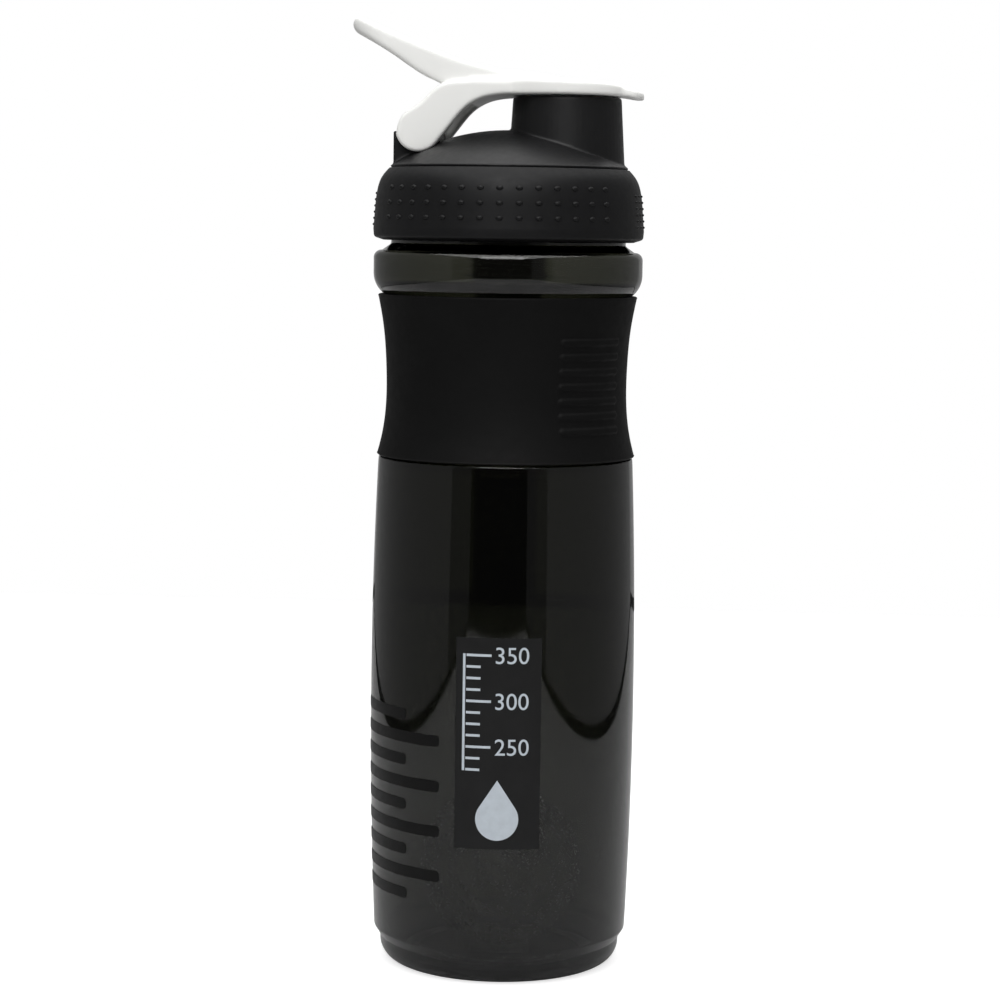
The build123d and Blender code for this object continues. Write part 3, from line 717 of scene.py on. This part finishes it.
def build_skirt(material):
    """Soft skirt: round foot that wraps under the lid's rim, side, and a thin edge at the dome."""
    outer, inner = skirt_side(0.0), skirt_side(SKIRT_THICKNESS)[::-1]
    foot = rounded([(SKIRT_FOOT_INNER + SKIRT_LIP, LID_RIM_Z), (SKIRT_FOOT_INNER, LID_RIM_Z),
                    (SKIRT_FOOT_INNER, SKIRT_Z), SKIRT_CORNER, outer[0]], SKIRT_FOOT_ROUNDS, 8)
    top = rounded([outer[-2], outer[-1], inner[0]], (SKIRT_TOP_ROUND,), 4)[1:]
    outline = foot[:-1] + outer[:-1] + top + inner[1:] + [(inner[-1][0], LID_RIM_Z)]
    vertices, faces = lathe_mesh(outline)
    return make_piece("lid_skirt", vertices, faces, material, "lid", ["lid_grip"],
                      sharp_deg=50)


def skirt_point(azimuth_deg, z):
    """Place and outward direction on the skirt's side."""
    outline = skirt_side(0.0)
    heights, radii = [p[1] for p in outline], [p[0] for p in outline]
    radius = float(np.interp(z, heights, radii))
    nearby = 0.3
    slope = float(np.interp(z + nearby, heights, radii)
                  - np.interp(z - nearby, heights, radii)) / (2 * nearby)
    angle = math.radians(azimuth_deg - 90.0)
    outwards = Vector((math.cos(angle), math.sin(angle), -slope)).normalized()
    return Vector((radius * math.cos(angle), radius * math.sin(angle), z)), outwards


def dome_bump(place, outwards, half_wide, half_high, height, sides, rings):
    """A small raised dot, a closed half ellipsoid sunk slightly into the wall."""
    across = Vector((0, 0, 1)).cross(outwards).normalized()
    upwards = outwards.cross(across)
    base, reach = place - outwards * DOT_SINK, height + DOT_SINK
    vertices, faces = [], []
    for r in range(rings):
        a = math.pi / 2 * r / rings
        for s in range(sides):
            t = TURN * s / sides
            vertices.append(tuple(base + across * half_wide * math.cos(a) * math.cos(t)
                                  + upwards * half_high * math.cos(a) * math.sin(t)
                                  + outwards * reach * math.sin(a)))
    vertices.append(tuple(base + outwards * reach))
    for s in range(sides):
        nxt = (s + 1) % sides
        for r in range(rings - 1):
            low, high = r * sides, (r + 1) * sides
            faces.append((low + s, low + nxt, high + nxt, high + s))
        end = (rings - 1) * sides
        faces.append((end + s, end + nxt, len(vertices) - 1))
    faces.append(tuple(reversed(range(sides))))
    return vertices, faces


def dot_panel(middle_deg, columns, pitch_deg, rows, dot):
    """Columns of raised dots round one stretch of the skirt."""
    azimuths = [middle_deg + pitch_deg * (column - (columns - 1) / 2) for column in range(columns)]
    return [dome_bump(*skirt_point(azimuth, z), **dot) for azimuth in azimuths for z in rows]


def build_dots(material):
    """Raised dots on the front and back of the skirt and finer ones on its two sides."""
    bumps = []
    for half_turn in (0.0, 180.0):
        bumps += dot_panel(DOTS_CENTRE_DEG + half_turn, **FRONT_DOTS, dot=FRONT_DOT)
        bumps += dot_panel(DOTS_CENTRE_DEG + 90.0 + half_turn, **SIDE_DOTS, dot=SIDE_DOT)
    vertices, faces = joined(bumps)
    return make_piece("skirt_dots", vertices, faces, material, "lid", sharp_deg=60)


def build_lid(material):
    """The hard lid: the CAD shape with the soft corners of a moulding."""
    shell = moulded_copy("lid_shell", "lid_body", LID_VOXEL, LID_PASSES)
    return settle(shell, material, "lid", ["lid_shell"])


def build_gasket(material):
    """The silicone ring between the neck's rim and the lid."""
    low, high = box_mm("lid_gasket")
    middle = (low.z + high.z) / 2
    corners = [(GASKET_INNER, middle), (GASKET_INNER, low.z), (high.x, low.z), (high.x, high.z),
               (GASKET_INNER, high.z), (GASKET_INNER, middle)]
    vertices, faces = lathe_mesh(rounded(corners, [GASKET_ROUND] * 4, 5)[:-1])
    return make_piece("gasket_ring", vertices, faces, material, "gasket",
                      ["lid_gasket"])


def build_seal(material):
    """Soft plug under the cap: a tapered ring with rounded edges and a dished middle."""
    low, high = box_mm("spout_seal")
    centre_x, top_radius = (low.x + high.x) / 2, (high.x - low.x) / 2
    dish_z = high.z - SEAL_DISH
    corners = [(0.0, dish_z), (SEAL_DISH_RADIUS, dish_z), (SEAL_DISH_RADIUS, low.z),
               (SEAL_BOTTOM_RADIUS, low.z), (top_radius, high.z), (0.0, high.z)]
    vertices, faces = lathe_mesh(rounded(corners, SEAL_ROUNDS, 5), SEAL_SEGMENTS, axis=(centre_x, 0.0))
    return make_piece("plug_seal", vertices, faces, material, "cap", ["spout_seal"],
                      sharp_deg=50)


# ---- flip cap ----

PIVOT = (-24.7, 238.8)
ARM_END_RADIUS, ARM_ARC_DEG = 6.5, (195.0, 324.0)
ARM_Y, ARM_EDGE = (9.25, 14.0), 0.9
CAP_UNDERSIDE_Z, CAP_ARCH_END_X = 248.6, 2.0
CAP_ARCH = [(-15.0, 240.7), (-11.7, 244.5), (-6.5, 247.5)]
ARM_BACK = [(-11.0, 252.4), (-15.0, 252.1), (-19.0, 250.9), (-21.9, 248.4), (-25.2, 245.4),
            (-29.3, 242.4)]
CAP_START_X, CAP_TAB_X, DISC_X, DISC_RADIUS = -10.5, 37.8, 16.2, 17.4
TAB_HALF_WIDTH, TAB_ROUND_LENGTH, TAB_ROUND_REACH, TAB_BLUNT = 7.5, 3.5, 3.6, 0.01
WIDTH_BLEND, ARM_INSET, LEVER_STATIONS = 10.0, 0.12, 112
CROWN = [(-12.0, 254.6), (-6.0, 255.5), (1.0, 255.6), (8.0, 254.9), (16.4, 253.5), (27.0, 252.9),
         (33.0, 251.6), (35.8, 250.5), (37.8, 249.5)]
SIDE_TOP_Z, SIDE_TOP_SHARE, CROWN_POWER, CROWN_ROOT = 252.1, 0.30, 2.6, 1.5
TAB_DROOP, TAB_DROOP_FROM = 0.9, 14.0
# the lever's lower edges: (in from the side, up from the underside), then where the flat begins
UNDER_EDGE, UNDER_FLAT = [(0.0, 0.7), (0.25, 0.2)], 0.8
LOOP_TOP = [(-42.4, 270.1), (-26.0, 263.2), (-15.0, 258.7), (-7.0, 256.3), (1.0, 254.6)]
LOOP_UNDER = [(-45.0, 266.5), (-32.0, 259.2), (-20.0, 252.1), (-12.0, 250.6), (1.0, 250.6)]
LOOP_CENTRE_X, LOOP_HALF_WIDTH, LOOP_EDGE, LOOP_SPANS = -32.6, 12.4, 1.7, 8
LOOP_HOLE_HALF_WIDTH, LOOP_HOLE_FRONT_X, LOOP_THINNEST = 7.5, -23.6, 0.05
CAP_VOXEL, CAP_PASSES = 0.34, 10
PIN_CHAMFER, PIN_SEGMENTS = 0.35, 48


def stacked(rings):
    """Closed solid from rings of the same number of points, capped at both ends."""
    count = len(rings[0])
    vertices = [point for ring in rings for point in ring]
    faces = [tuple(reversed(range(count))), tuple(range(len(vertices) - count, len(vertices)))]
    for r in range(len(rings) - 1):
        for k in range(count):
            nxt = (k + 1) % count
            faces.append((r * count + k, r * count + nxt, (r + 1) * count + nxt, (r + 1) * count + k))
    return vertices, faces


def pulled_in(outline, distance):
    """A closed counter-clockwise outline moved inwards along its normals."""
    pts = np.array(outline)
    along = np.roll(pts, -1, axis=0) - np.roll(pts, 1, axis=0)
    along /= np.linalg.norm(along, axis=1)[:, None]
    return pts + np.stack([-along[:, 1], along[:, 0]], axis=1) * distance


def arm_outline():
    """Side view of one arm from its round end up into the lever, counter-clockwise."""
    end = arc(PIVOT, ARM_END_RADIUS, *ARM_ARC_DEG, 22)
    under = through([end[-1], *CAP_ARCH, (CAP_ARCH_END_X, CAP_UNDERSIDE_Z)], 8)
    back = through([(CAP_ARCH_END_X, SIDE_TOP_Z), *ARM_BACK, end[0]], 8)
    return end[:-1] + under + back[:-1]


def build_arm(direction):
    """One hinge arm on the side that direction (-1 or 1) names, with rounded edges."""
    outline = arm_outline()
    low, high = ARM_Y
    rings = []
    for y, side, start, end in ((low, 1.0, 0, math.pi / 2), (high, -1.0, math.pi / 2, 0)):
        for t in np.linspace(start, end, 5):
            inset = ARM_EDGE * (1 - math.sin(t))
            place = y + side * ARM_EDGE * (1 - math.cos(t))
            rings.append([(x, direction * place, z) for x, z in pulled_in(outline, inset)])
    return stacked(rings)


def lever_half_width(x):
    """Half width of the lever at x: straight arms, the disc over the spout, then the tab."""
    disc = math.sqrt(max(DISC_RADIUS**2 - (x - DISC_X) ** 2, 0.0))
    straight = ARM_Y[1] if x < DISC_X else 0.0
    tab_end = max(x - CAP_TAB_X + TAB_ROUND_LENGTH, 0.0) / TAB_ROUND_REACH
    tab = TAB_HALF_WIDTH * math.sqrt(max(1 - tab_end**2, TAB_BLUNT))
    widest = sum(w**WIDTH_BLEND for w in (disc, straight, tab)) ** (1 / WIDTH_BLEND)
    return widest - (0.0 if x > DISC_X else ARM_INSET)


def build_lever():
    """The lever's body: flat underside, upright sides and a crowned top."""
    arch = [(PIVOT[0] + ARM_END_RADIUS, PIVOT[1]), *CAP_ARCH, (CAP_ARCH_END_X, CAP_UNDERSIDE_Z)]
    arch_x, arch_z = zip(*through(arch, 12))
    crown_x, crown_z = zip(*through(CROWN, 8))
    rings = []
    for x in np.linspace(CAP_START_X, CAP_TAB_X, LEVER_STATIONS):
        half = lever_half_width(x)
        top = float(np.interp(x, crown_x, crown_z))
        droop = TAB_DROOP * float(smoothstep(DISC_X + TAB_DROOP_FROM, CAP_TAB_X, x))
        bottom = float(np.interp(x, arch_x, arch_z)) if x < CAP_ARCH_END_X else CAP_UNDERSIDE_Z - droop
        shoulder = min(SIDE_TOP_Z, top - SIDE_TOP_SHARE * (top - bottom))
        ring = [(x, -half + inset, bottom + up) for inset, up in UNDER_EDGE]
        ring += [(x, y, bottom) for y in np.linspace(-half + UNDER_FLAT, half - UNDER_FLAT, 14)]
        ring += [(x, half - inset, bottom + up) for inset, up in reversed(UNDER_EDGE)]
        for t in np.linspace(0, math.pi, 29):
            lift = (1 - abs(math.cos(t)) ** CROWN_POWER) ** (1 / CROWN_ROOT)
            ring.append((x, half * math.cos(t), shoulder + (top - shoulder) * lift))
        rings.append(ring)
    return stacked(rings)


def loop_plan(front, half_width, steps=26):
    """Plan outline with straight sides from front to a half circle round the loop's centre."""
    out = [(front + (LOOP_CENTRE_X - front) * t, half_width) for t in np.linspace(0, 1, steps + 1)]
    for angle in np.radians(np.linspace(90, 270, steps + 1))[1:-1]:
        out.append((LOOP_CENTRE_X + half_width * math.cos(angle), half_width * math.sin(angle)))
    for t in np.linspace(1, 0, steps + 1):
        out.append((front + (LOOP_CENTRE_X - front) * t, -half_width))
    return np.array(out + [(front, half_width * t) for t in np.linspace(-1, 1, steps + 1)[1:-1]])


def build_loop():
    """The sloping carry loop with round edges inside and out."""
    top_x, top_z = zip(*through(LOOP_TOP, 10))
    under_x, under_z = zip(*through(LOOP_UNDER, 10))
    outer = loop_plan(LOOP_TOP[-1][0], LOOP_HALF_WIDTH)
    inner = loop_plan(LOOP_HOLE_FRONT_X, LOOP_HOLE_HALF_WIDTH)
    count = len(outer)
    span = np.linalg.norm(outer - inner, axis=1)
    edge_steps = [LOOP_EDGE * (1 - math.cos(t)) for t in np.linspace(0, math.pi / 2, 5)]
    outer_edge = [np.minimum(step / span, 0.5) for step in edge_steps]
    flat_start = outer_edge[-1]
    shares = outer_edge + [flat_start + (1 - 2 * flat_start) * k / LOOP_SPANS
                           for k in range(1, LOOP_SPANS)]
    shares += [1 - share for share in reversed(outer_edge)]
    vertices = []
    for on_top, some_shares in ((True, shares), (False, reversed(shares))):
        for share in some_shares:
            plan = outer + (inner - outer) * share[:, None]
            depth = np.minimum(np.minimum(share, 1 - share) * span, LOOP_EDGE)
            for (x, y), d in zip(plan, depth):
                high, low = np.interp(x, top_x, top_z), np.interp(x, under_x, under_z)
                edge = min(LOOP_EDGE, (high - low) / 2 - LOOP_THINNEST)
                drop = edge - math.sqrt(max(edge**2 - (edge * (1 - d / LOOP_EDGE)) ** 2, 0.0))
                vertices.append((x, y, high - drop if on_top else low + drop))
    rows = len(shares) * 2
    faces = [(r * count + k, r * count + (k + 1) % count,
              (r + 1) % rows * count + (k + 1) % count, (r + 1) % rows * count + k)
             for r in range(rows) for k in range(count)]
    return vertices, faces


def build_cap(material):
    """Arms, lever and loop grown together as one moulding with soft inner corners."""
    vertices, faces = joined([build_arm(-1), build_arm(1), build_lever(), build_loop()])
    mesh = new_mesh("cap_lever", vertices, faces)
    bm = bmesh.new()
    bm.from_mesh(mesh)
    bmesh.ops.recalc_face_normals(bm, faces=bm.faces[:])
    bm.to_mesh(mesh)
    bm.free()
    cap = grown_together(mesh, "cap_lever", CAP_VOXEL, CAP_PASSES)
    return settle(cap, material, "cap", ["flip_cap"])


def build_pin(material):
    """Hinge pin along Y with chamfered ends."""
    low, high = box_mm("hinge_pin")
    radius, half = (high.x - low.x) / 2, (high.y - low.y) / 2
    centre = (low + high) / 2
    outline = [(0.0, -half), (radius - PIN_CHAMFER, -half), (radius, -half + PIN_CHAMFER),
               (radius, half - PIN_CHAMFER), (radius - PIN_CHAMFER, half), (0.0, half)]
    vertices, faces = lathe_mesh(fine(outline, 3.0), PIN_SEGMENTS)
    vertices = [(centre.x + x, centre.y - z, centre.z + y) for x, y, z in vertices]
    return make_piece("steel_pin", vertices, faces, material, "cap", ["hinge_pin"],
                      sharp_deg=30)


# ---- stage, light and camera ----

# A light tent in metres: pale floor, bright roof, dim side walls whose front stretches are dimmer
# still, and a back wall in two panels with a dark slit between them. Its front is open to a dark
# room, with a soft key light above the camera. All the walls stop a little above the floor.
TENT_HALF_WIDTH, TENT_FRONT, TENT_WING, TENT_BACK = 0.385, -0.85, -0.435, 0.75
TENT_HEIGHT, WALL_GAP, BACK_SLIT, BACK_SLIT_X = 0.72, 0.008, 0.026, -0.065
ROOF_LEVEL, WALL_LEVEL, WING_LEVEL, BACK_LEVEL, ROOM_LEVEL = 2.05, 0.22, 0.09, 0.34, 0.032
KEY_PLACE, KEY_TARGET, KEY_SIZE, KEY_LEVEL = (0.0, -1.15, 1.05), (0.0, 0.0, 0.18), 0.9, 3.2
FLOOR_ALBEDO, FLOOR_GLOW = 0.54, 0.75
FLOOR_CORNER, FLOOR_THICKNESS = 60.0, 3.0


def build_stage():
    """A pale floor sheet with round corners, glowing to the camera only, so that it looks white."""
    half, front, back = TENT_HALF_WIDTH / MM, TENT_FRONT / MM, TENT_BACK / MM
    middle = (front + back) / 2
    outline = rounded([(half, middle), (half, back), (-half, back), (-half, front), (half, front),
                       (half, middle)], [FLOOR_CORNER] * 4, 8)[:-1]
    count = len(outline)
    vertices = [(x, y, -z) for z in (0.0, FLOOR_THICKNESS) for x, y in outline]
    faces = [tuple(range(count)), tuple(reversed(range(count, 2 * count)))]
    faces += [(k, k + count, (k + 1) % count + count, (k + 1) % count) for k in range(count)]
    floor = placed("floor", new_mesh("floor", vertices, faces))
    finish = Finish("pale_floor", (FLOOR_ALBEDO,) * 3, 0.8, Specular_IOR_Level=0.1)
    finish.vary_roughness(60.0, 0.05)
    glow, rays, total = (finish.nodes.new(kind) for kind in (
        "ShaderNodeEmission", "ShaderNodeLightPath", "ShaderNodeAddShader"))
    scale = finish.nodes.new("ShaderNodeMath")
    scale.operation = "MULTIPLY"
    scale.inputs[1].default_value = FLOOR_GLOW
    finish.links.new(rays.outputs["Is Camera Ray"], scale.inputs[0])
    finish.links.new(scale.outputs["Value"], glow.inputs["Strength"])
    finish.links.new(finish.shader.outputs["BSDF"], total.inputs[0])
    finish.links.new(glow.outputs["Emission"], total.inputs[1])
    finish.links.new(total.outputs["Shader"], finish.nodes["Material Output"].inputs["Surface"])
    floor.data.materials.append(finish.material)


def soft_panel(name, place, target, width, height, level):
    """A rectangular diffuser of an even brightness, seen only in reflections."""
    light = bpy.data.lights.new(name, "AREA")
    light.shape = "RECTANGLE"
    light.size, light.size_y = width, height
    light.energy = level * math.pi * width * height
    obj = placed(name, light)
    obj.location = place
    obj.rotation_mode = "QUATERNION"
    obj.rotation_quaternion = (Vector(target) - Vector(place)).to_track_quat("-Z", "Y")
    obj.visible_camera = False


def build_light():
    """The tent's panels, in a world that is white to the camera and a dark room to the object."""
    world = bpy.data.worlds.new("studio")
    world.use_nodes = True
    nodes, links = world.node_tree.nodes, world.node_tree.links
    seen, felt, mix = (nodes.new(kind) for kind in (
        "ShaderNodeBackground", "ShaderNodeBackground", "ShaderNodeMixShader"))
    for background, level in ((seen, 1.0), (felt, ROOM_LEVEL)):
        background.inputs["Color"].default_value = (1.0, 1.0, 1.0, 1.0)
        background.inputs["Strength"].default_value = level
    rays = nodes.new("ShaderNodeLightPath")
    links.new(rays.outputs["Is Camera Ray"], mix.inputs["Fac"])
    links.new(felt.outputs["Background"], mix.inputs[1])
    links.new(seen.outputs["Background"], mix.inputs[2])
    links.new(mix.outputs["Shader"], nodes["World Output"].inputs["Surface"])
    bpy.context.scene.world = world
    height, centre = TENT_HEIGHT - WALL_GAP, (TENT_HEIGHT + WALL_GAP) / 2
    for side, direction in (("left", -1), ("right", 1)):
        for part, start, end, level in (("wall", TENT_WING, TENT_BACK, WALL_LEVEL),
                                        ("wing", TENT_FRONT, TENT_WING, WING_LEVEL)):
            middle = (start + end) / 2
            soft_panel(f"{part}_{side}", (direction * TENT_HALF_WIDTH, middle, centre),
                       (0, middle, centre), end - start, height, level)
        inner, outer = BACK_SLIT_X + direction * BACK_SLIT, direction * TENT_HALF_WIDTH
        middle = (inner + outer) / 2
        soft_panel(f"back_{side}", (middle, TENT_BACK, centre), (middle, 0, centre),
                   abs(outer - inner), height, BACK_LEVEL)
    middle = (TENT_BACK + TENT_FRONT) / 2
    soft_panel("roof", (0, middle, TENT_HEIGHT), (0, middle, 0), 2 * TENT_HALF_WIDTH,
               TENT_BACK - TENT_FRONT, ROOF_LEVEL)
    soft_panel("key", KEY_PLACE, KEY_TARGET, KEY_SIZE, KEY_SIZE, KEY_LEVEL)


CAMERA_DISTANCE, CAMERA_HEIGHT = 0.801, 0.2125
CAMERA_AZIMUTH, CAMERA_PITCH, CAMERA_YAW, CAMERA_ROLL = 5.0, 5.63, 0.10, 0.79
LENS_MM, SENSOR_MM = 100.8, 36.0


def build_camera():
    """The photo's camera, fitted to the object's outline."""
    data = bpy.data.cameras.new("camera")
    data.lens, data.sensor_width = LENS_MM, SENSOR_MM
    data.clip_start, data.clip_end = 0.01, 20.0
    camera = placed("camera", data)
    azimuth = math.radians(CAMERA_AZIMUTH)
    camera.location = (CAMERA_DISTANCE * math.sin(azimuth), -CAMERA_DISTANCE * math.cos(azimuth),
                       CAMERA_HEIGHT)
    heading, pitch = azimuth + math.radians(CAMERA_YAW), math.radians(CAMERA_PITCH)
    forward = Vector((-math.sin(heading) * math.cos(pitch), math.cos(heading) * math.cos(pitch),
                      -math.sin(pitch)))
    roll = Quaternion((0.0, 0.0, 1.0), math.radians(CAMERA_ROLL))
    camera.rotation_mode = "QUATERNION"
    camera.rotation_quaternion = forward.to_track_quat("-Z", "Y") @ roll
    bpy.context.scene.camera = camera


# ---- the whole scene ----

lid_black = moulded_finish("lid_polypropylene", (0.0042, 0.0042, 0.0046), 0.44, (16.0, 1.25),
                           (1.6, 0.04), (0.28, 0.008), Specular_IOR_Level=0.31)
grip_black = moulded_finish("grip_elastomer", (0.0030, 0.0030, 0.0030), 0.62, (14.0, 1.35),
                            (3.0, 0.05), (0.35, 0.012), (2.5, 0.01), Specular_IOR_Level=0.12)
skirt_black = moulded_finish("skirt_elastomer", (0.0048, 0.0048, 0.0052), 0.50, (10.0, 1.3),
                             (2.0, 0.05), (0.3, 0.010), Specular_IOR_Level=0.22)
cap_white = moulded_finish("cap_polypropylene", (0.93, 0.93, 0.905), 0.40, (12.0, 0.98),
                           (2.0, 0.05), (0.4, 0.006))
label_ink = moulded_finish("label_ink", (0.0085, 0.0085, 0.0088), 0.42, (6.0, 1.3), (1.2, 0.06),
                           (0.5, 0.004), Specular_IOR_Level=0.25)
white_ink = moulded_finish("white_ink", (0.60, 0.66, 0.72), 0.42, (2.2, 0.9), (1.0, 0.05),
                           (0.4, 0.004))
dark_ink = moulded_finish("dark_ink", (0.004, 0.004, 0.004), 0.42, (5.0, 1.4), (1.5, 0.05),
                          (0.5, 0.004), Specular_IOR_Level=0.14)
steel = moulded_finish("drawn_steel", (0.60, 0.60, 0.61), 0.24, (4.0, 0.9), (0.8, 0.07),
                       (0.2, 0.003), Metallic=1.0)
clear_silicone = moulded_finish("silicone", (0.62, 0.62, 0.60), 0.48, (5.0, 0.95), (1.5, 0.05),
                                (0.5, 0.006), Subsurface_Weight=0.2, Subsurface_Scale=0.003)

build_bottle(smoky_copolyester())
build_grip(grip_black)
build_label(label_ink)
build_scale_print(white_ink)
build_side_print(dark_ink)
build_ball(steel)
build_gasket(clear_silicone)
build_lid(lid_black)
build_skirt(skirt_black)
build_dots(skirt_black)
build_cap(cap_white)
build_seal(clear_silicone)
build_pin(steel)
build_stage()
build_light()
build_camera()

scene = bpy.context.scene
scene.view_settings.view_transform = "Standard"
scene.cycles.max_bounces = 16
scene.cycles.transmission_bounces = 12
scene.cycles.transparent_max_bounces = 12
